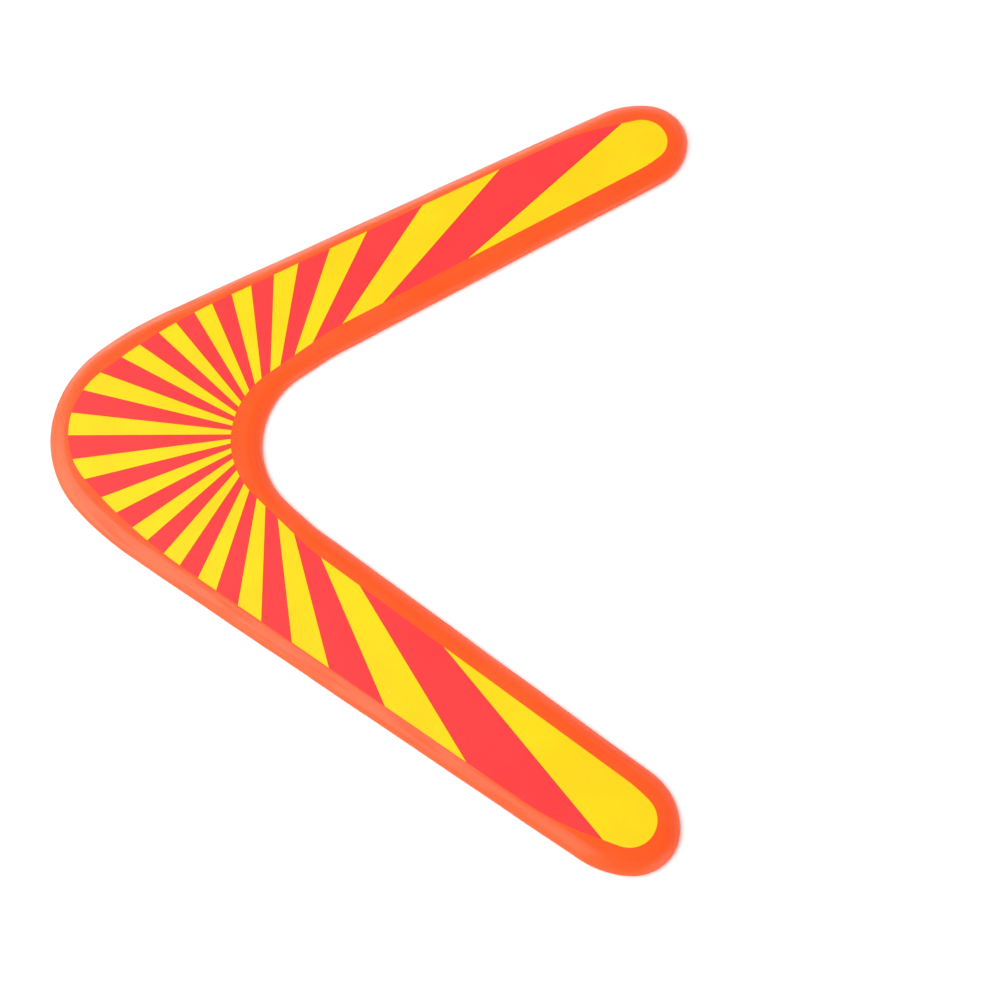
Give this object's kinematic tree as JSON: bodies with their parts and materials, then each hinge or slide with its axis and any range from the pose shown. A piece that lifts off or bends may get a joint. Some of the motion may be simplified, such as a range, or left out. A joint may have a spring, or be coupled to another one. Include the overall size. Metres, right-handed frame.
{
  "type": "boomerang",
  "caption": "V-shaped plywood throwing boomerang with rounded edges, an orange painted body and a printed sunburst face.",
  "frame": {"origin": "on the flat back, under the middle of the outline's bounding box", "axes": "+Z out of the printed face; +Y along the span from tip to tip; +X from the elbow towards the open side between the arms"},
  "size_m": [0.2416, 0.3208, 0.0043],
  "materials": {
    "birch_face": "sanded birch veneer, grain along the span",
    "birch_cross_band": "birch veneer, grain across the span",
    "glue_line": "cured wood adhesive",
    "orange_enamel": "satin-gloss sprayed enamel",
    "yellow_ink": "opaque screen-printed ink, satin",
    "red_ink": "opaque screen-printed ink, satin"
  },
  "bodies": {
    "root": {"face_veneer": "birch_face", "upper_cross_band": "birch_cross_band", "core_veneer": "birch_face", "lower_cross_band": "birch_cross_band", "back_veneer": "birch_face", "glue_line_1": "glue_line", "glue_line_2": "glue_line", "glue_line_3": "glue_line", "glue_line_4": "glue_line", "top_paint_coat": "orange_enamel", "back_paint_coat": "orange_enamel", "yellow_ink_rays": "yellow_ink", "red_ink_rays": "red_ink"}
  },
  "joints": []
}
